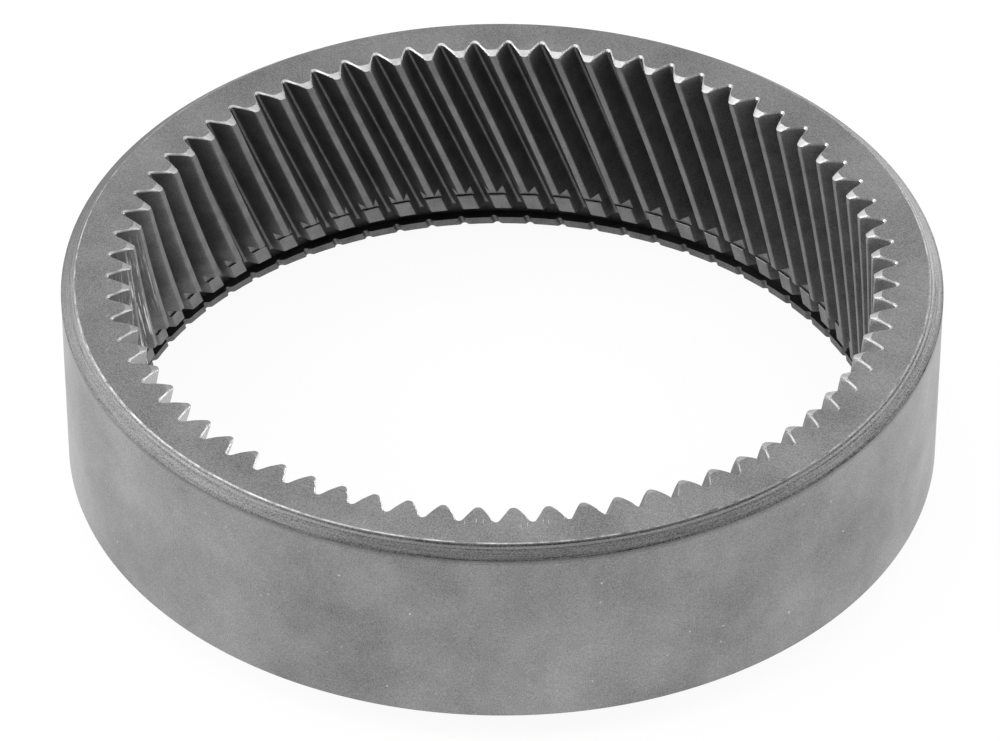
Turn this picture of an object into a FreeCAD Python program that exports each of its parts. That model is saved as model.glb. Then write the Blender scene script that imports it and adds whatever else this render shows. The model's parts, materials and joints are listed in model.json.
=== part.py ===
import FreeCAD, Part
import math
import os

# Internal ring gear: one steel ring with helical teeth cut in its bore.
# Millimetres, +Z up, origin on the ring's axis in the plane of the lower face.

# Ring body
outer_radius = 87.0
overall_height = 46.5
top_chamfer_width = 2.9
top_chamfer_height = 2.2
lead_in_width = 7.2
lead_in_height = 6.1

# Helical gear teeth
tooth_count = 70
normal_module = 2.0
normal_pressure_angle_deg = 25.0
helix_angle_deg = 21.5
addendum = 2.0
dedendum = 2.5
first_space_angle_deg = 1.85
root_chords = 3

# Upper tooth ends: a cone on the tips and a bevel on the sharp edge of each tooth
tip_chamfer_width = 1.55
tip_chamfer_height = 0.65
edge_bevel_depth = 0.4
edge_bevel_across = 0.4
edge_bevel_into_root = 0.3

# Lower end of the bore, from the full teeth down to the lower face
shoulder_height = 10.9
stub_crest_depth = 2.0
groove_top_height = 5.3
groove_depth_past_root = 1.5
lip_height = 1.7
lip_crest_depth = 3.7

# How far the cutting shapes run past the ring
overrun = 1.0

# Gear geometry that follows from the sizes above
helix_angle = math.radians(helix_angle_deg)
normal_pressure_angle = math.radians(normal_pressure_angle_deg)
transverse_pressure_angle = math.atan(math.tan(normal_pressure_angle) / math.cos(helix_angle))
pitch_radius = tooth_count * normal_module / (2.0 * math.cos(helix_angle))
base_radius = pitch_radius * math.cos(transverse_pressure_angle)
tip_radius = pitch_radius - addendum
root_radius = pitch_radius + dedendum
lead = 2.0 * math.pi * pitch_radius / math.tan(helix_angle)
pitch_angle_deg = 360.0 / tooth_count
twist_deg_per_mm = 360.0 / lead

# Radii of the turned steps, measured from the tooth tips and roots
stub_crest_radius = tip_radius + stub_crest_depth
lip_crest_radius = tip_radius + lip_crest_depth
groove_radius = root_radius + groove_depth_past_root


def involute(angle):
    return math.tan(angle) - angle


def space_half_angle(radius):
    # Half the width of a tooth space, as an angle about the ring's axis
    at_pitch = math.pi / (2.0 * tooth_count)
    pressure_here = math.acos(base_radius / radius)
    return at_pitch + involute(transverse_pressure_angle) - involute(pressure_here)


def root_circle(radius):
    # Circle centred in the space that touches both flanks at this radius
    half = space_half_angle(radius)
    lean = math.acos(base_radius / radius) - half
    round_radius = radius * math.sin(half) / math.cos(lean)
    centre = radius * math.cos(half) - round_radius * math.sin(lean)
    return centre, round_radius


def full_round_root():
    # Radius on the flanks where one round can fill the whole root
    low = pitch_radius
    high = root_radius
    for _ in range(60):
        middle = 0.5 * (low + high)
        centre, round_radius = root_circle(middle)
        if centre + round_radius > root_radius:
            high = middle
        else:
            low = middle
    return 0.5 * (low + high)


def flank_point(radius, side):
    half = space_half_angle(radius)
    return FreeCAD.Vector(radius * math.cos(half), side * radius * math.sin(half), 0.0)


def mouth_point(root_start, side):
    # The flank's line carried on past the tooth tip
    at_tip = flank_point(tip_radius, side)
    along = at_tip - flank_point(root_start, side)
    return at_tip + along * (overrun / (root_start - tip_radius))


def space_corners():
    # Corners of one tooth space, which opens towards the ring's axis
    root_start = full_round_root()
    centre, round_radius = root_circle(root_start)
    low_end = flank_point(root_start, -1)
    reach = math.atan2(-low_end.y, low_end.x - centre)
    corners = [mouth_point(root_start, -1)]
    for number in range(root_chords + 1):
        turn = reach * (2.0 * number / root_chords - 1.0)
        across = round_radius * math.sin(turn)
        corners.append(FreeCAD.Vector(centre + round_radius * math.cos(turn), across, 0.0))
    corners.append(mouth_point(root_start, 1))
    return corners


def closed_outline(corners):
    return Part.makePolygon(corners + corners[:1])


def placed(shape, turn_deg, height):
    moved = shape.copy()
    moved.Placement = FreeCAD.Placement(
        FreeCAD.Vector(0.0, 0.0, height),
        FreeCAD.Rotation(FreeCAD.Vector(0.0, 0.0, 1.0), turn_deg),
    )
    return moved


def space_angle_at(height):
    return first_space_angle_deg + twist_deg_per_mm * (height - overall_height)


def tooth_space():
    # One space swept along its helix, past both faces of the ring
    bottom = -overrun
    length = overall_height + 2.0 * overrun
    axis_line = Part.Wire([Part.LineSegment(
        FreeCAD.Vector(0.0, 0.0, 0.0),
        FreeCAD.Vector(0.0, 0.0, length),
    ).toShape()])
    guide = Part.makeHelix(lead, length, pitch_radius)
    sweep = Part.BRepOffsetAPI.MakePipeShell(axis_line)
    sweep.setAuxiliarySpine(guide, True, 0)
    sweep.add(closed_outline(space_corners()))
    sweep.build()
    sweep.makeSolid()
    return placed(sweep.shape(), space_angle_at(bottom), bottom)


def edge_bevel_cut():
    # Wedge that breaks the sharp upper edge along one flank and into the root
    start = overall_height - edge_bevel_depth
    rise = edge_bevel_depth + overrun
    slope = rise / edge_bevel_depth
    corners = space_corners()
    outline = closed_outline(corners[:3] + corners[-1:])
    lower = placed(outline, space_angle_at(start), start)
    upper = outline.copy()
    upper.Placement = FreeCAD.Placement(
        FreeCAD.Vector(0.0, 0.0, start + rise),
        FreeCAD.Rotation(FreeCAD.Vector(0.0, 0.0, 1.0), space_angle_at(start + rise)),
    ).multiply(FreeCAD.Placement(
        FreeCAD.Vector(slope * edge_bevel_into_root, -slope * edge_bevel_across, 0.0),
        FreeCAD.Rotation(),
    ))
    return Part.makeLoft([lower, upper], True, True)


def ring_blank():
    # Half section of the turned ring, spun about its axis
    bevel_top = overall_height - top_chamfer_height
    corners = [
        (lip_crest_radius, 0.0),
        (outer_radius - lead_in_width, 0.0),
        (outer_radius, lead_in_height),
        (outer_radius, bevel_top),
        (outer_radius - top_chamfer_width, overall_height),
        (tip_radius + tip_chamfer_width, overall_height),
        (tip_radius, overall_height - tip_chamfer_height),
        (tip_radius, shoulder_height),
        (stub_crest_radius, shoulder_height),
        (stub_crest_radius, groove_top_height),
        (groove_radius, groove_top_height),
        (groove_radius, lip_height),
        (lip_crest_radius, lip_height),
    ]
    points = [FreeCAD.Vector(radius, 0.0, height) for radius, height in corners]
    section = Part.Face(Part.makePolygon(points + points[:1]))
    return section.revolve(FreeCAD.Vector(0.0, 0.0, 0.0), FreeCAD.Vector(0.0, 0.0, 1.0), 360.0)


def ring_gear():
    cut = tooth_space().fuse(edge_bevel_cut())
    cuts = [placed(cut, number * pitch_angle_deg, 0.0) for number in range(tooth_count)]
    return ring_blank().cut(Part.makeCompound(cuts))


os.makedirs("parts", exist_ok=True)
gear = ring_gear()
gear.exportStep("parts/ring_gear.step")
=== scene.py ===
import json
import math

import bmesh
import bpy
import numpy as np
from mathutils import Matrix, Vector


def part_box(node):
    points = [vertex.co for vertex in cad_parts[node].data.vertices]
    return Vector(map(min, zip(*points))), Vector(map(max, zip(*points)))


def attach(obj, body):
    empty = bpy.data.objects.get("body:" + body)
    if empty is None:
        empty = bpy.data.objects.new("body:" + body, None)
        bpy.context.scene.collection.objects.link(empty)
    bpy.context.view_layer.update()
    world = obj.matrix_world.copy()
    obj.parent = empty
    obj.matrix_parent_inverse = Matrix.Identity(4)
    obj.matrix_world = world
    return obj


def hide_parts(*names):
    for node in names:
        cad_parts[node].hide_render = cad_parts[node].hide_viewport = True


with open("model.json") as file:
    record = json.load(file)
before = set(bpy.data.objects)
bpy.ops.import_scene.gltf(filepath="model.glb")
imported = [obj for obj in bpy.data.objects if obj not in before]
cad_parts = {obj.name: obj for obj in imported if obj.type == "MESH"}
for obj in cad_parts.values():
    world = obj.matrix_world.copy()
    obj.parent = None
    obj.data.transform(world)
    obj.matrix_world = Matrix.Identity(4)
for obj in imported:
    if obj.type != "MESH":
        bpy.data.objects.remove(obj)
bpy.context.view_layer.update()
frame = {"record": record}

MM = 0.001

# Ring body: the outside is read from the frame
mounts = {mount["name"]: mount for mount in frame["record"]["mounts"]}
box_low, box_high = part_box("ring_gear")
outer_radius = min(-box_low.x, -box_low.y, box_high.x, box_high.y)
wall_length = mounts["outer_wall"]["dims"]["length_mm"] * MM
wall_middle = mounts["outer_wall"]["pos_m"][2]
wall_bottom = wall_middle - 0.5 * wall_length
wall_top = wall_middle + 0.5 * wall_length
ring_height = box_high.z
top_chamfer_width = 2.9 * MM
lead_in_width = 7.2 * MM

# Helical gear teeth
tooth_count = 70
normal_module = 2.0 * MM
addendum = 2.0 * MM
dedendum = 2.5 * MM
normal_pressure_angle = math.radians(25.0)
helix_angle = math.radians(21.5)
first_space_angle = math.radians(1.85)
transverse_pressure_angle = math.atan(math.tan(normal_pressure_angle) / math.cos(helix_angle))
pitch_radius = tooth_count * normal_module / (2.0 * math.cos(helix_angle))
base_radius = pitch_radius * math.cos(transverse_pressure_angle)
tip_radius = pitch_radius - addendum
root_radius = pitch_radius + dedendum
pitch_angle = 2.0 * math.pi / tooth_count
twist_per_metre = math.tan(helix_angle) / pitch_radius

# Tooth ends: the cone on the tips and the break along each upper edge,
# which is widest in the roots and narrow on the blunt edges
tip_chamfer_width = 1.65 * MM
tip_chamfer_height = 0.55 * MM
cone_row_drops = [drop * MM for drop in (0.55, 0.4, 0.28, 0.18, 0.1, 0.04)]
edge_break_depth = 0.4 * MM
edge_break_curve = 1.6
sharp_edge_break = 0.36 * MM
root_edge_break = 0.56 * MM
root_end_edge_break = 0.25 * MM
blunt_edge_break = 0.1 * MM
crisp_corner_round = 0.45 * MM
soft_corner_round = 0.6 * MM
crest_corner_round = 1.3 * MM
crest_round_height = 1.2 * MM

# Turned steps at the lower end of the bore
shoulder_height = 10.9 * MM
relief_radius = tip_radius + 2.5 * MM
stub_top_height = 8.8 * MM
stub_crest_radius = tip_radius + 2.0 * MM
groove_top_height = 5.3 * MM
groove_radius = root_radius + 1.5 * MM
lip_height = 1.7 * MM
lip_crest_radius = tip_radius + 3.7 * MM
turned_edge_break = 0.12 * MM

# Where the fine mesh of the teeth ends on the two end faces
lower_fine_radius = groove_radius - 0.6 * MM
upper_fine_radius = root_radius + 1.2 * MM

# The outside takes every fifth column of the bore's fine ones
coarse_step = 5

# Distances below this count as none, when corners are compared and when sectors are joined
same_place = 1e-9
weld_distance = 0.002 * MM

# Faces that meet at more than this angle keep a sharp edge
sharp_angle = math.radians(16.5)

# Finishes of the ring's surfaces, in the order of its material slots
FINISHES = [
    "end_face", "outer_wall", "chamfer", "tooth_flank", "tooth_land",
    "tip_cone", "edge_break", "relief", "rim_highlight",
]


# Tooth form

def involute(angle):
    return math.tan(angle) - angle


def space_half_angle(radius):
    """Half the width of a tooth space, as an angle about the ring's axis."""
    at_pitch = math.pi / (2.0 * tooth_count)
    return at_pitch + involute(transverse_pressure_angle) - involute(math.acos(base_radius / radius))


def root_circle(radius):
    """Centre and radius of the circle that touches both flanks at this radius."""
    half = space_half_angle(radius)
    lean = math.acos(base_radius / radius) - half
    round_radius = radius * math.sin(half) / math.cos(lean)
    return radius * math.cos(half) - round_radius * math.sin(lean), round_radius


def full_round_root():
    """Radius on the flanks where one round can fill the whole root."""
    low, high = pitch_radius, root_radius
    halvings = 60
    for _ in range(halvings):
        middle = 0.5 * (low + high)
        centre, round_radius = root_circle(middle)
        if centre + round_radius > root_radius:
            high = middle
        else:
            low = middle
    return 0.5 * (low + high)


# A space's line starts inside the tooth tips, and the painted highlight on its edge break ends a little
# past the middle of the root
root_start = full_round_root()
root_end_angle = 0.4 * space_half_angle(root_start)
past_tip = 1.1 * MM
inner_end = tip_radius - past_tip


def space_line(flank_steps=60, root_steps=40):
    """Points along one tooth space, centred on +X, from mouth to root to mouth."""
    flank = [inner_end + (root_start - inner_end) * step / flank_steps for step in range(flank_steps)]
    centre, round_radius = root_circle(root_start)
    half = space_half_angle(root_start)
    reach = math.atan2(root_start * math.sin(half), root_start * math.cos(half) - centre)
    turns = [reach * (2.0 * step / root_steps - 1.0) for step in range(root_steps + 1)]
    low = [(r * math.cos(space_half_angle(r)), -r * math.sin(space_half_angle(r))) for r in flank]
    root = [(centre + round_radius * math.cos(t), round_radius * math.sin(t)) for t in turns]
    return np.array(low + root + [(x, -y) for x, y in reversed(low)])


space_points = space_line()
along = np.gradient(space_points, axis=0)
outwards = np.column_stack([along[:, 1], -along[:, 0]]) / np.hypot(along[:, 0], along[:, 1])[:, None]

# Width of the edge break at places across a space, from its sharp edge to its blunt one
edge_break_places = [place * MM for place in (-1.1, -0.6, -0.15, 0.3, 0.85)]
edge_break_widths = [
    sharp_edge_break, root_edge_break, root_edge_break, root_end_edge_break, blunt_edge_break,
]
edge_break = np.interp(space_points[:, 1], edge_break_places, edge_break_widths)


def space_radius(angle, height):
    """How far out the space reaches at this angle and height, and if the edge break adds to it."""
    rise = min(max(height - (ring_height - edge_break_depth), 0.0) / edge_break_depth, 1.0)
    share = rise ** edge_break_curve
    points = space_points + outwards * (edge_break * share)[:, None]
    angles = np.arctan2(points[:, 1], points[:, 0])
    reach = np.interp(angle, angles, np.hypot(points[:, 0], points[:, 1]), left=0.0, right=0.0)
    return reach, share > 0.0


def rounded_max(first, second, height, corner_round):
    """The larger radius, with the corner between the two rounded, most of all near the tip cone."""
    under_cone = max(ring_height - tip_chamfer_height - height, 0.0)
    share = max(1.0 - under_cone / crest_round_height, 0.0)
    reach = corner_round + (crest_corner_round - corner_round) * share
    overlap = max(reach - abs(first - second), 0.0)
    return max(first, second) + overlap * overlap / (4.0 * reach)


# Ring section: rows of (radius, height, finish) that run up the bore and down the outside

def bore_rows():
    edge = turned_edge_break
    rows = [
        (lower_fine_radius, 0.0, "end_face"),
        (lip_crest_radius + edge, 0.0, "tooth_flank"),
        (lip_crest_radius, edge, "tooth_flank"),
        # Faces with the relief finish get painted shade for the recesses they sit in
        (lip_crest_radius, lip_height, "relief"),
        (groove_radius, lip_height, "relief"),
        (groove_radius, groove_top_height, "relief"),
        (stub_crest_radius + edge, groove_top_height, "tooth_land"),
        (stub_crest_radius, groove_top_height + edge, "tooth_land"),
        (stub_crest_radius, stub_top_height - edge, "tooth_land"),
        (stub_crest_radius + edge, stub_top_height, "relief"),
        (relief_radius, stub_top_height, "tooth_land"),
        (relief_radius, shoulder_height, "relief"),
        (tip_radius + edge, shoulder_height, "tooth_land"),
    ]
    tooth_rows = 7
    low, high = shoulder_height + edge, ring_height - tip_chamfer_height
    for row in range(tooth_rows):
        rows.append((tip_radius, low + (high - low) * row / tooth_rows, "tooth_land"))
    rows.append((tip_radius, high - crest_round_height, "tooth_land"))
    rows.append((tip_radius, high - 0.4 * crest_round_height, "tooth_land"))
    for drop in cone_row_drops:
        share = 1.0 - drop / tip_chamfer_height
        rows.append((tip_radius + tip_chamfer_width * share, ring_height - drop, "tip_cone"))
    rows.append((tip_radius + tip_chamfer_width, ring_height, "end_face"))
    rows.append((upper_fine_radius, ring_height, "end_face"))
    return rows


# Rows down the upper chamfer, as (share of its width, share of its height), and the one that carries the
# painted rim highlight
CHAMFER_ROWS = (
    (0.0, 0.0), (0.006, 0.009), (0.09, 0.07), (0.16, 0.17),
    (0.30, 0.30), (0.55, 0.55), (0.8, 0.8), (1.0, 1.0),
)
RIM_HIGHLIGHT_ROW = 1


def outside_rows():
    rim = outer_radius - top_chamfer_width
    drop = ring_height - wall_top
    rows = []
    for number, (out, down) in enumerate(CHAMFER_ROWS):
        finish = "rim_highlight" if number == RIM_HIGHLIGHT_ROW else "chamfer"
        rows.append((rim + top_chamfer_width * out, ring_height - drop * down, finish))
    rows[-1] = (outer_radius, wall_top, "outer_wall")
    wall_steps = 6
    for step in range(1, wall_steps + 1):
        finish = "outer_wall" if step < wall_steps else "chamfer"
        rows.append((outer_radius, wall_top + (wall_bottom - wall_top) * step / wall_steps, finish))
    rows.append((outer_radius - lead_in_width, 0.0, "end_face"))
    return rows


def fine_columns():
    """Angles across one pitch, from the middle of one tooth land to the next."""
    near_tip = [tip_radius + past * MM for past in (-1.05, -0.7, -0.35, 0.0, 0.3, 0.65, 1.1)]
    further_out = [
        tip_radius + tip_chamfer_width, stub_crest_radius, relief_radius,
        0.5 * (relief_radius + lip_crest_radius), lip_crest_radius, root_start,
    ]
    flank = [space_half_angle(radius) for radius in near_tip + further_out]
    root_steps = 8
    root = [flank[-1] * (1.0 - 2.0 * step / root_steps) for step in range(1, root_steps)]
    land_steps = 3
    land_middle = 0.5 * pitch_angle
    land = [land_middle + (flank[0] - land_middle) * step / land_steps for step in range(land_steps)]
    high_side = land + flank
    return [-angle for angle in high_side] + root[::-1] + high_side[::-1]


def add_vertex(shape, angle, radius, height):
    return shape.verts.new((radius * math.cos(angle), radius * math.sin(angle), height))


def add_face(shape, corners, finish):
    """Face with this finish, which leaves out a corner that is the same as the one before it."""
    ring = [corner for at, corner in enumerate(corners) if corner is not corners[at - 1]]
    if len(ring) > 2:
        shape.faces.new(ring).material_index = FINISHES.index(finish)


def bore_corners(shape, rows, columns):
    """Corners of the bore's faces, and for each its radius, the space's radius and if it is broken."""
    corners, reaches = [], []
    for radius, height, _ in rows:
        row, row_reaches = [], []
        for at, angle in enumerate(columns):
            cut, broken = space_radius(angle, height)
            corner_round = soft_corner_round if angle < 0.0 else crisp_corner_round
            place = rounded_max(radius, cut, height, corner_round)
            row_reaches.append((place, cut, broken))
            below = corners[-1][at] if corners else None
            same = below is not None and abs(reaches[-1][at][0] - place) < same_place
            same = same and abs(below.co.z - height) < same_place
            row.append(below if same else add_vertex(shape, angle, place, height))
        corners.append(row)
        reaches.append(row_reaches)
    return corners, reaches


def bore_finish(rows, reaches, level, at, angle):
    """Finish of one face of the bore: the turned step's, the tooth space's or the edge break's."""
    radius, height, turned_finish = rows[level]
    next_radius, next_height, _ = rows[level + 1]
    if abs(height - next_height) < same_place:
        return turned_finish
    around = [reaches[i][j] for i in (level, level + 1) for j in (at, at + 1)]
    if sum(cut for _, cut, _ in around) / len(around) <= 0.5 * (radius + next_radius):
        return turned_finish
    if sum(broken for _, _, broken in around) < 2:
        return "tooth_flank"
    return "edge_break" if angle < root_end_angle else "end_face"


def tooth_sector():
    """Straight, untwisted stretch of the ring, one tooth space wide."""
    shape = bmesh.new()
    columns = fine_columns()
    coarse = list(range(0, len(columns), coarse_step))
    if coarse[-1] != len(columns) - 1:
        coarse.append(len(columns) - 1)

    inside = bore_rows()
    bore, reaches = bore_corners(shape, inside, columns)
    for level in range(len(bore) - 1):
        below, above = bore[level], bore[level + 1]
        for at in range(len(columns) - 1):
            corners = [below[at], above[at], above[at + 1], below[at + 1]]
            add_face(shape, corners, bore_finish(inside, reaches, level, at, columns[at]))

    outside = outside_rows()
    shell = []
    for radius, height, _ in outside:
        shell.append([add_vertex(shape, columns[at], radius, height) for at in coarse])
    for level in range(len(shell) - 1):
        below, above = shell[level], shell[level + 1]
        for at in range(len(coarse) - 1):
            add_face(shape, [below[at], above[at], above[at + 1], below[at + 1]], outside[level][2])

    for fine_row, coarse_row, upward in ((bore[-1], shell[0], True), (bore[0], shell[-1], False)):
        for at in range(len(coarse) - 1):
            fine = fine_row[coarse[at]:coarse[at + 1] + 1]
            corners = fine[::-1] + [coarse_row[at], coarse_row[at + 1]]
            add_face(shape, corners if upward else corners[::-1], "end_face")
    mesh = bpy.data.meshes.new("tooth_sector")
    shape.to_mesh(mesh)
    shape.free()
    return mesh


# Steel finishes

# Painted light and shade across the upper chamfer, from its rim to the wall, as (share of the width, tone)
# The bands stand in for facets of slightly different slope and for the shadow under the rim edge
CHAMFER_LIGHT_AND_SHADE_BANDS = (
    (0.0, 0.2), (0.11, 0.15), (0.15, 0.07), (0.2, 0.07), (0.25, 0.18), (0.34, 0.16),
    (0.4, 0.09), (0.47, 0.13), (0.8, 0.12), (0.9, 0.08), (1.0, 0.06),
)

# Share of the wall's tone, over the first two millimetres under the chamfer
WALL_TOP_BANDS = ((0.0, 0.62), (0.15, 0.6), (0.25, 0.85), (0.4, 0.82), (0.55, 1.0), (1.0, 1.0))
WALL_TOP_REACH = 2.0 * MM

# Middle and reach of the teeth with bright streaks, of the painted light that turns the flanks
# pale at the left front and of the marks on the end face
STREAK_PLACE = (-0.073, 0.002, 0.024)
STREAK_REACH = 0.024
LIT_FLANK_PLACE = (-0.062, -0.043, 0.043)
LIT_FLANK_REACH = 0.032
MARKED_PLACE = (-0.008, -0.081, 0.0465)
MARKED_REACH = 0.032

# Scratches on the end faces, as (turn in radians, spots per metre along them, offset),
# and the spots per metre across them
SCRATCH_SETS = ((0.5, 160.0, 3.0), (2.1, 220.0, 11.0), (1.3, 190.0, 23.0))
SCRATCH_FINENESS = 2200.0

# Spots per metre of the grain on the ground and turned faces, and of the coarser one on the
# chamfer and the teeth
FINE_GRAIN = 4200.0
COARSE_GRAIN = 3500.0

# Values that a noise texture mostly keeps between, and a closer pair for more contrast
NOISE_RANGE = (0.3, 0.7)
CLOSE_RANGE = (0.35, 0.65)

# How far above its threshold a spot or scratch has its full tone
SPOT_EDGE = 0.03


class Finish:
    """A steel material with its node tree and short ways to add nodes to it."""

    def __init__(self, name):
        self.material = bpy.data.materials.new(name)
        self.material.use_nodes = True
        self.tree = self.material.node_tree
        self.shader = self.tree.nodes["Principled BSDF"]
        self.place = self.node("ShaderNodeTexCoord").outputs["Object"]
        axes = self.node("ShaderNodeSeparateXYZ", Vector=self.place)
        self.x, self.y, self.z = axes.outputs
        flat = self.node("ShaderNodeCombineXYZ", X=self.x, Y=self.y)
        length = self.node("ShaderNodeVectorMath", operation="LENGTH", Vector=flat.outputs[0])
        self.radius = length.outputs["Value"]

    def node(self, kind, operation=None, **inputs):
        made = self.tree.nodes.new(kind)
        if operation:
            made.operation = operation
        for name, value in inputs.items():
            socket = made.inputs[name.replace("_", " ")]
            if isinstance(value, bpy.types.NodeSocket):
                self.tree.links.new(value, socket)
            else:
                socket.default_value = value
        return made

    def math(self, operation, first, second=0.0, third=0.0):
        made = self.tree.nodes.new("ShaderNodeMath")
        made.operation = operation
        for socket, value in zip(made.inputs, (first, second, third)):
            if isinstance(value, bpy.types.NodeSocket):
                self.tree.links.new(value, socket)
            else:
                socket.default_value = value
        return made.outputs[0]

    def noise(self, scale, detail, vector=None, roughness=0.5):
        """Cloudy texture with about this many spots per metre, or per unit of a stretched place."""
        made = self.node("ShaderNodeTexNoise", Vector=vector or self.place, Scale=scale)
        made.inputs["Detail"].default_value = detail
        made.inputs["Roughness"].default_value = roughness
        return made.outputs["Fac"]

    def stretched(self, by_x, by_y, by_z):
        """Place with each axis multiplied by its own gain."""
        made = self.node("ShaderNodeCombineXYZ")
        for socket, value, gain in zip(made.inputs, (self.x, self.y, self.z), (by_x, by_y, by_z)):
            self.tree.links.new(self.math("MULTIPLY", value, gain), socket)
        return made.outputs[0]

    def along_teeth(self, across, along):
        """Place stretched along the helix of the teeth."""
        turn = self.math("MULTIPLY", self.math("SUBTRACT", ring_height, self.z), twist_per_metre)
        made = self.node("ShaderNodeVectorRotate", Vector=self.place, Angle=turn)
        made.rotation_type = "Z_AXIS"
        scaled = self.node("ShaderNodeVectorMath", operation="MULTIPLY")
        self.tree.links.new(made.outputs[0], scaled.inputs[0])
        scaled.inputs[1].default_value = (across, across, along)
        return scaled.outputs[0]

    def between(self, value, low, high, to_low=0.0, to_high=1.0):
        """Carries a value from one range to another, and holds it at the ends."""
        made = self.node("ShaderNodeMapRange", Value=value)
        made.inputs["From Min"].default_value = low
        made.inputs["From Max"].default_value = high
        made.inputs["To Min"].default_value = to_low
        made.inputs["To Max"].default_value = to_high
        return made.outputs[0]

    def shaded(self, texture, darkest, lightest):
        """Tone that goes from the darkest to the lightest as the texture does."""
        return self.between(texture, *NOISE_RANGE, darkest, lightest)

    def grained(self, tone, texture, spread, limits=NOISE_RANGE):
        """Makes the tone darker and lighter by this spread, as the texture goes."""
        return self.math("ADD", tone, self.between(texture, *limits, -spread, spread))

    def graded(self, tone, left, right, left_gain, right_gain):
        """Multiplies the tone by a gain that changes between two places on X."""
        return self.math("MULTIPLY", tone, self.between(self.x, left, right, left_gain, right_gain))

    def blend(self, share, first, second):
        """The first tone where the share is none, and the second where it is one."""
        return self.math("MULTIPLY_ADD", share, self.math("SUBTRACT", second, first), first)

    def bands(self, distance, width, stops):
        """Tone that changes with distance across a band of this width."""
        made = self.node("ShaderNodeValToRGB", Fac=self.math("DIVIDE", distance, width))
        marks = made.color_ramp.elements
        while len(marks) < len(stops):
            marks.new(1.0)
        for mark, (place, tone) in zip(marks, stops):
            mark.position = place
            mark.color = (tone, tone, tone, 1.0)
        return made.outputs["Color"]

    def scratched(self, tone, brightness, rarity):
        """Lays a few thin bright scratches of mixed directions over the tone."""
        for turn, length, offset in SCRATCH_SETS:
            turned = self.node("ShaderNodeVectorRotate", Vector=self.place, Angle=turn)
            axes = self.node("ShaderNodeSeparateXYZ", Vector=turned.outputs[0])
            slid = self.node("ShaderNodeCombineXYZ")
            for socket, value, gain in zip(slid.inputs, axes.outputs, (length, SCRATCH_FINENESS, length)):
                self.tree.links.new(self.math("MULTIPLY_ADD", value, gain, offset), socket)
            line = self.noise(1.0, detail=1.0, vector=slid.outputs[0])
            tone = self.blend(self.between(line, rarity, rarity + SPOT_EDGE), tone, brightness)
        return tone

    def specked(self, tone, brightness, scale, rarity):
        """Scatters small bright nicks over the tone."""
        dots = self.noise(scale, detail=1.0)
        return self.blend(self.between(dots, rarity, rarity + SPOT_EDGE), tone, brightness)

    def near(self, place, reach):
        """One in the core of the patch round this place, and none past its reach."""
        core = 0.4 * reach
        away = self.node("ShaderNodeVectorMath", operation="DISTANCE", Vector=self.place)
        away.inputs[1].default_value = place
        return self.between(away.outputs["Value"], core, reach, to_low=1.0, to_high=0.0)

    def bright_streaks(self, tone, brightness=1.0):
        """Bright streaks along the teeth at one side of the bore."""
        streaks = self.noise(1.0, detail=2.0, vector=self.along_teeth(across=3000.0, along=85.0))
        bright = self.between(streaks, low=0.57, high=0.62)
        share = self.math("MULTIPLY", bright, self.near(STREAK_PLACE, STREAK_REACH))
        return self.blend(share, tone, brightness)

    def radial_marks(self, tone, brightness=0.6, round_the_axis=230.0, along_the_mark=260.0):
        """Short bright marks across the end face at one side of the ring."""
        angle = self.math("ARCTAN2", self.y, self.x)
        turned = self.node("ShaderNodeCombineXYZ")
        self.tree.links.new(self.math("MULTIPLY", angle, round_the_axis), turned.inputs["X"])
        self.tree.links.new(self.math("MULTIPLY", self.radius, along_the_mark), turned.inputs["Y"])
        marks = self.noise(1.0, detail=1.0, vector=turned.outputs[0])
        bright = self.between(marks, low=0.7, high=0.74)
        share = self.math("MULTIPLY", bright, self.near(MARKED_PLACE, MARKED_REACH))
        return self.blend(share, tone, brightness)

    def grey(self, value):
        made = self.node("ShaderNodeCombineColor")
        for socket in made.inputs:
            self.tree.links.new(value, socket)
        return made.outputs[0]

    def dress(self, brightness, roughness, bump=None, bump_height=0.02 * MM, bump_strength=0.4):
        self.tree.links.new(self.grey(brightness), self.shader.inputs["Base Color"])
        self.shader.inputs["Roughness"].default_value = roughness
        self.shader.inputs["Metallic"].default_value = 1.0
        if bump is not None:
            made = self.node("ShaderNodeBump", Height=bump, Strength=bump_strength, Distance=bump_height)
            self.tree.links.new(made.outputs[0], self.shader.inputs["Normal"])
        return self.material


def end_face_steel():
    finish = Finish("ground_end_face")
    cloud = finish.noise(70.0, detail=4.0)
    grain = finish.noise(FINE_GRAIN, detail=2.0)
    tone = finish.grained(finish.shaded(cloud, 0.21, 0.29), grain, 0.09)
    tone = finish.radial_marks(finish.scratched(tone, brightness=0.42, rarity=0.79))
    return finish.dress(tone, roughness=0.5, bump=grain)


def outer_wall_steel():
    finish = Finish("turned_outer_wall")
    cloud = finish.noise(45.0, detail=5.0)
    grain = finish.noise(FINE_GRAIN, detail=2.0)
    blotches = finish.noise(230.0, detail=3.0)
    lines = finish.noise(1.0, detail=2.0, vector=finish.stretched(60.0, 60.0, 6000.0))
    tone = finish.grained(finish.shaded(cloud, 0.21, 0.32), grain, 0.075)
    tone = finish.grained(tone, blotches, 0.01, CLOSE_RANGE)
    below_top = finish.math("SUBTRACT", wall_top, finish.z)
    tone = finish.math("MULTIPLY", tone, finish.bands(below_top, WALL_TOP_REACH, WALL_TOP_BANDS))
    tone = finish.specked(tone, brightness=0.5, scale=900.0, rarity=0.77)
    return finish.dress(tone, roughness=0.42, bump=lines, bump_height=0.08 * MM, bump_strength=0.5)


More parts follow.
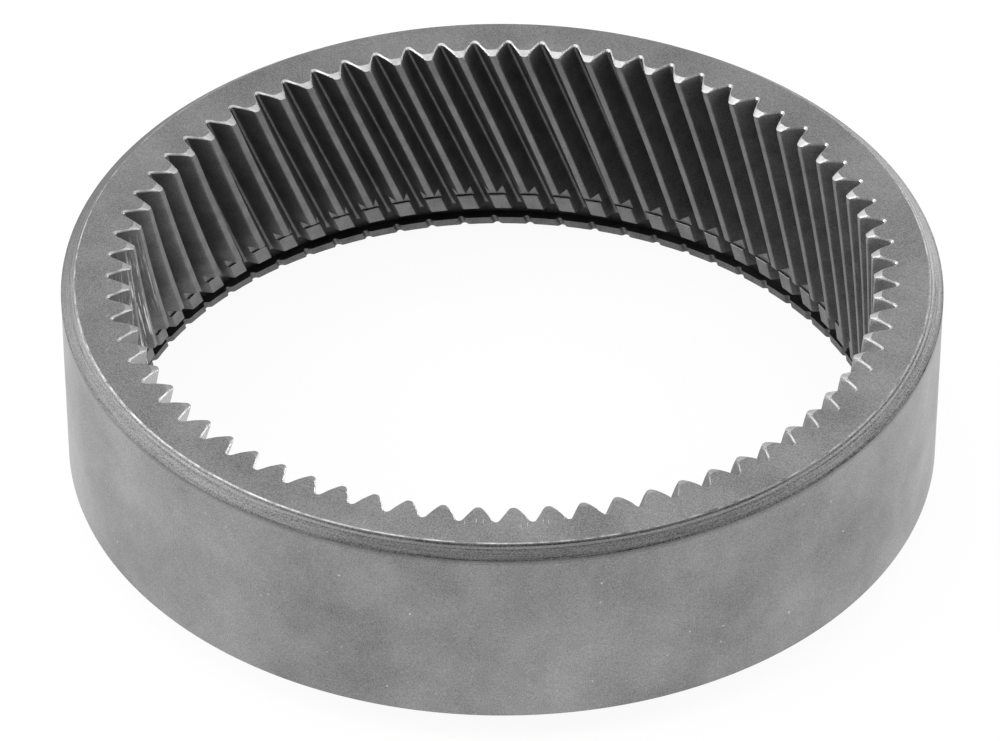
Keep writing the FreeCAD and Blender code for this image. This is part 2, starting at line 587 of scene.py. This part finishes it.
def chamfer_steel():
    finish = Finish("turned_chamfer_painted_shading")
    lines = finish.noise(1.0, detail=4.0, vector=finish.stretched(60.0, 60.0, 7500.0), roughness=0.7)
    grain = finish.noise(COARSE_GRAIN, detail=2.0)
    past_rim = finish.math("SUBTRACT", finish.radius, outer_radius - top_chamfer_width)
    bands = finish.bands(past_rim, top_chamfer_width, CHAMFER_LIGHT_AND_SHADE_BANDS)
    # Painted light: the banding fades toward the left and the chamfer darkens toward the right, following
    # how the lamps fall
    plain = finish.between(finish.x, low=-0.08, high=-0.02, to_low=0.6, to_high=0.0)
    plain_tone = 0.15
    tone = finish.blend(plain, bands, plain_tone)
    tone = finish.graded(tone, left=0.03, right=0.08, left_gain=1.0, right_gain=0.84)
    tone = finish.grained(tone, lines, 0.035, CLOSE_RANGE)
    tone = finish.grained(tone, grain, 0.05)
    return finish.dress(tone, roughness=0.52, bump=lines)


def rim_highlight_steel():
    # Painted highlight: a bright, broken line along the burred rim edge, dimmer toward the right, for the
    # light the edge catches
    finish = Finish("rim_highlight")
    patches = finish.noise(330.0, detail=5.0, roughness=0.7)
    tone = finish.between(patches, low=0.4, high=0.64, to_low=0.2, to_high=0.6)
    tone = finish.graded(tone, left=0.0, right=0.04, left_gain=1.0, right_gain=0.5)
    return finish.dress(tone, roughness=0.5)


def tooth_flank_steel():
    finish = Finish("cut_tooth_flank")
    cloud = finish.noise(300.0, detail=4.0)
    grain = finish.noise(COARSE_GRAIN, detail=2.0)
    tone = finish.bright_streaks(finish.grained(finish.shaded(cloud, 0.12, 0.17), grain, 0.04))
    # Painted light: the flanks near the left front turn pale, as if lit from the front right
    painted_lit_flank = finish.shaded(grain, 0.42, 0.6)
    tone = finish.blend(finish.near(LIT_FLANK_PLACE, LIT_FLANK_REACH), tone, painted_lit_flank)
    return finish.dress(tone, roughness=0.5, bump=cloud)


def tooth_land_steel():
    finish = Finish("turned_tooth_land")
    cloud = finish.noise(300.0, detail=4.0)
    grain = finish.noise(COARSE_GRAIN, detail=2.0)
    tone = finish.bright_streaks(finish.grained(finish.shaded(cloud, 0.17, 0.23), grain, 0.03))
    return finish.dress(tone, roughness=0.5, bump=cloud)


def tip_cone_highlight_steel():
    finish = Finish("tip_cone_painted_highlight")
    # Painted highlight: the cone gets a light tone, brighter toward the right, for the light it catches
    cloud = finish.noise(900.0, detail=3.0)
    tone = finish.shaded(cloud, 0.35, 0.45)
    tone = finish.graded(tone, left=-0.02, right=0.06, left_gain=1.0, right_gain=1.5)
    return finish.dress(tone, roughness=0.45, bump=cloud)


def edge_break_highlight_steel():
    # Painted highlight: the broken edges get a light tone, darker to the left and brighter to the right, for
    # the light they catch
    finish = Finish("broken_edge_painted_highlight")
    cloud = finish.noise(900.0, detail=3.0)
    tone = finish.shaded(cloud, 0.38, 0.5)
    tone = finish.graded(tone, left=-0.05, right=0.06, left_gain=0.8, right_gain=1.4)
    return finish.dress(tone, roughness=0.45, bump=cloud)


def recess_shade_steel():
    # Painted shade: the groove and step faces at the lower end of the bore are made near black for the shade
    # in these recesses
    finish = Finish("relief_painted_shade")
    cloud = finish.noise(300.0, detail=4.0)
    return finish.dress(finish.shaded(cloud, 0.05, 0.09), roughness=0.6, bump=cloud)


def ring_finishes():
    makers = [
        end_face_steel, outer_wall_steel, chamfer_steel, tooth_flank_steel,
        tooth_land_steel, tip_cone_highlight_steel, edge_break_highlight_steel, recess_shade_steel, rim_highlight_steel,
    ]
    return [make() for make in makers]


# Ring gear

def ring_tree(finishes):
    """Repeats the tooth sector round the axis and gives the teeth their helix."""
    tree = bpy.data.node_groups.new("helical_ring", "GeometryNodeTree")
    face = tree.interface
    face.new_socket("Sector", in_out="INPUT", socket_type="NodeSocketGeometry")
    face.new_socket("Teeth", in_out="INPUT", socket_type="NodeSocketInt")
    face.new_socket("Twist per metre", in_out="INPUT", socket_type="NodeSocketFloat")
    face.new_socket("Space angle at top", in_out="INPUT", socket_type="NodeSocketFloat")
    face.new_socket("Ring height", in_out="INPUT", socket_type="NodeSocketFloat")
    face.new_socket("Ring", in_out="OUTPUT", socket_type="NodeSocketGeometry")
    nodes, links = tree.nodes, tree.links

    def add(kind, **settings):
        made = nodes.new(kind)
        for name, value in settings.items():
            setattr(made, name, value)
        return made

    def maths(operation, first, second):
        made = add("ShaderNodeMath", operation=operation)
        for socket, value in zip(made.inputs, (first, second)):
            if isinstance(value, bpy.types.NodeSocket):
                links.new(value, socket)
            else:
                socket.default_value = value
        return made.outputs[0]

    sizes = add("NodeGroupInput").outputs
    points = add("GeometryNodePoints")
    links.new(sizes["Teeth"], points.inputs["Count"])
    step = maths("DIVIDE", 2.0 * math.pi, sizes["Teeth"])
    turn = add("ShaderNodeCombineXYZ")
    links.new(maths("MULTIPLY", add("GeometryNodeInputIndex").outputs[0], step), turn.inputs["Z"])
    copies = add("GeometryNodeInstanceOnPoints")
    links.new(points.outputs[0], copies.inputs["Points"])
    links.new(sizes["Sector"], copies.inputs["Instance"])
    links.new(turn.outputs[0], copies.inputs["Rotation"])
    whole = add("GeometryNodeRealizeInstances")
    links.new(copies.outputs[0], whole.inputs[0])

    place = add("GeometryNodeInputPosition").outputs[0]
    height = add("ShaderNodeSeparateXYZ")
    links.new(place, height.inputs[0])
    below_top = maths("SUBTRACT", height.outputs["Z"], sizes["Ring height"])
    helix = maths("ADD", maths("MULTIPLY", below_top, sizes["Twist per metre"]), sizes["Space angle at top"])
    turned = add("ShaderNodeVectorRotate", rotation_type="Z_AXIS")
    links.new(place, turned.inputs["Vector"])
    links.new(helix, turned.inputs["Angle"])
    moved = add("GeometryNodeSetPosition")
    links.new(whole.outputs[0], moved.inputs["Geometry"])
    links.new(turned.outputs[0], moved.inputs["Position"])
    joined = add("GeometryNodeMergeByDistance")
    joined.inputs["Distance"].default_value = weld_distance
    links.new(moved.outputs[0], joined.inputs["Geometry"])

    ring = joined.outputs[0]
    own_finish = add("GeometryNodeInputMaterialIndex").outputs[0]
    for number, finish in enumerate(finishes):
        this_one = add("FunctionNodeCompare", data_type="INT", operation="EQUAL")
        links.new(own_finish, this_one.inputs[2])
        this_one.inputs[3].default_value = number
        dress = add("GeometryNodeSetMaterial")
        dress.inputs["Material"].default_value = finish
        links.new(ring, dress.inputs["Geometry"])
        links.new(this_one.outputs[0], dress.inputs["Selection"])
        ring = dress.outputs[0]
    links.new(ring, add("NodeGroupOutput").inputs["Ring"])
    return tree


def ring_gear():
    finishes = ring_finishes()
    sector = tooth_sector()
    for finish in finishes:
        sector.materials.append(finish)
    piece = bpy.data.objects.new("ring_gear_finished", sector)
    bpy.context.scene.collection.objects.link(piece)
    tree = ring_tree(finishes)
    shape = piece.modifiers.new("helical_ring", "NODES")
    shape.node_group = tree
    sizes = {
        "Teeth": tooth_count,
        "Twist per metre": twist_per_metre,
        "Space angle at top": first_space_angle,
        "Ring height": ring_height,
    }
    for socket in tree.interface.items_tree:
        if socket.name in sizes:
            shape[socket.identifier] = sizes[socket.name]
    whole = bpy.data.meshes.new_from_object(piece.evaluated_get(bpy.context.evaluated_depsgraph_get()))
    piece.modifiers.remove(shape)
    piece.data = whole
    whole.name = "ring_gear_finished"
    whole.shade_smooth()
    whole.set_sharp_from_angle(angle=sharp_angle)
    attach(piece, "root")
    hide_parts("ring_gear")


# Studio

# White paper under the ring, with a glow that only rays which show it see
floor_size = 12.0
paper_tone = 0.86
glow_share = 0.93

# Soft lamps, as (name, place, size, power)
LAMPS = (
    ("overhead_softbox", (0.0, 0.1, 1.2), (1.6, 1.4), 9.0),
    ("left_softbox", (-1.1, -0.2, 0.7), (0.9, 0.9), 12.0),
    ("right_softbox", (1.1, 0.1, 0.7), (0.8, 0.8), 5.0),
    ("left_strip", (-0.8, 0.22, 0.08), (0.8, 0.16), 7.0),
    ("right_strip", (0.8, 0.2, 0.08), (0.8, 0.16), 5.5),
    ("right_back_strip", (0.5, 0.66, 0.08), (0.4, 0.16), 2.0),
)
sky_strength = 0.62


def floor():
    bpy.ops.mesh.primitive_plane_add(size=floor_size)
    ground = bpy.context.object
    ground.name = "floor"
    paper = bpy.data.materials.new("white_paper")
    paper.use_nodes = True
    nodes, links = paper.node_tree.nodes, paper.node_tree.links
    shader = nodes["Principled BSDF"]
    shader.inputs["Base Color"].default_value = (paper_tone, paper_tone, paper_tone, 1.0)
    shader.inputs["Roughness"].default_value = 0.9
    glow = nodes.new("ShaderNodeEmission")
    rays = nodes.new("ShaderNodeLightPath")
    seen = rays.outputs["Is Camera Ray"]
    for kind in ("Is Glossy Ray", "Is Transmission Ray"):
        either = nodes.new("ShaderNodeMath")
        either.operation = "MAXIMUM"
        links.new(seen, either.inputs[0])
        links.new(rays.outputs[kind], either.inputs[1])
        seen = either.outputs[0]
    share = nodes.new("ShaderNodeMath")
    share.operation = "MULTIPLY"
    share.inputs[1].default_value = glow_share
    links.new(seen, share.inputs[0])
    mix = nodes.new("ShaderNodeMixShader")
    links.new(share.outputs[0], mix.inputs[0])
    links.new(shader.outputs[0], mix.inputs[1])
    links.new(glow.outputs[0], mix.inputs[2])
    links.new(mix.outputs[0], nodes["Material Output"].inputs["Surface"])
    ground.data.materials.append(paper)


def soft_lamp(name, place, aim, size, power):
    lamp = bpy.data.lights.new(name, "AREA")
    lamp.shape = "RECTANGLE"
    lamp.size, lamp.size_y = size
    lamp.energy = power
    holder = bpy.data.objects.new(name, lamp)
    holder.location = place
    holder.rotation_mode = "QUATERNION"
    holder.rotation_quaternion = (Vector(aim) - Vector(place)).to_track_quat("-Z", "Y")
    bpy.context.scene.collection.objects.link(holder)


def lights():
    world = bpy.data.worlds.new("studio")
    world.use_nodes = True
    sky = world.node_tree.nodes["Background"]
    sky.inputs["Color"].default_value = (1.0, 1.0, 1.0, 1.0)
    sky.inputs["Strength"].default_value = sky_strength
    bpy.context.scene.world = world
    middle = (0.0, 0.0, 0.5 * ring_height)
    for name, place, size, power in LAMPS:
        soft_lamp(name, place, middle, size, power)
    bpy.context.scene.view_settings.view_transform = "Standard"


def camera():
    """The photo's viewpoint, seen through a long lens."""
    aim = Vector((-0.41, 7.17, 15.45)) * MM
    elevation = math.radians(38.246)
    distance = 1.25294
    roll = math.radians(0.09)
    data = bpy.data.cameras.new("camera")
    data.lens = 224.3
    data.sensor_width = 36.0
    data.clip_start, data.clip_end = 0.05, 50.0
    holder = bpy.data.objects.new("camera", data)
    back = Vector((0.0, -math.cos(elevation), math.sin(elevation)))
    up = Vector((0.0, math.sin(elevation), math.cos(elevation)))
    axes = Matrix((Vector((1.0, 0.0, 0.0)), up, back)).transposed()
    turned = axes @ Matrix.Rotation(roll, 3, "Z")
    holder.matrix_world = Matrix.Translation(aim + back * distance) @ turned.to_4x4()
    bpy.context.scene.collection.objects.link(holder)
    bpy.context.scene.camera = holder


floor()
lights()
camera()
ring_gear()
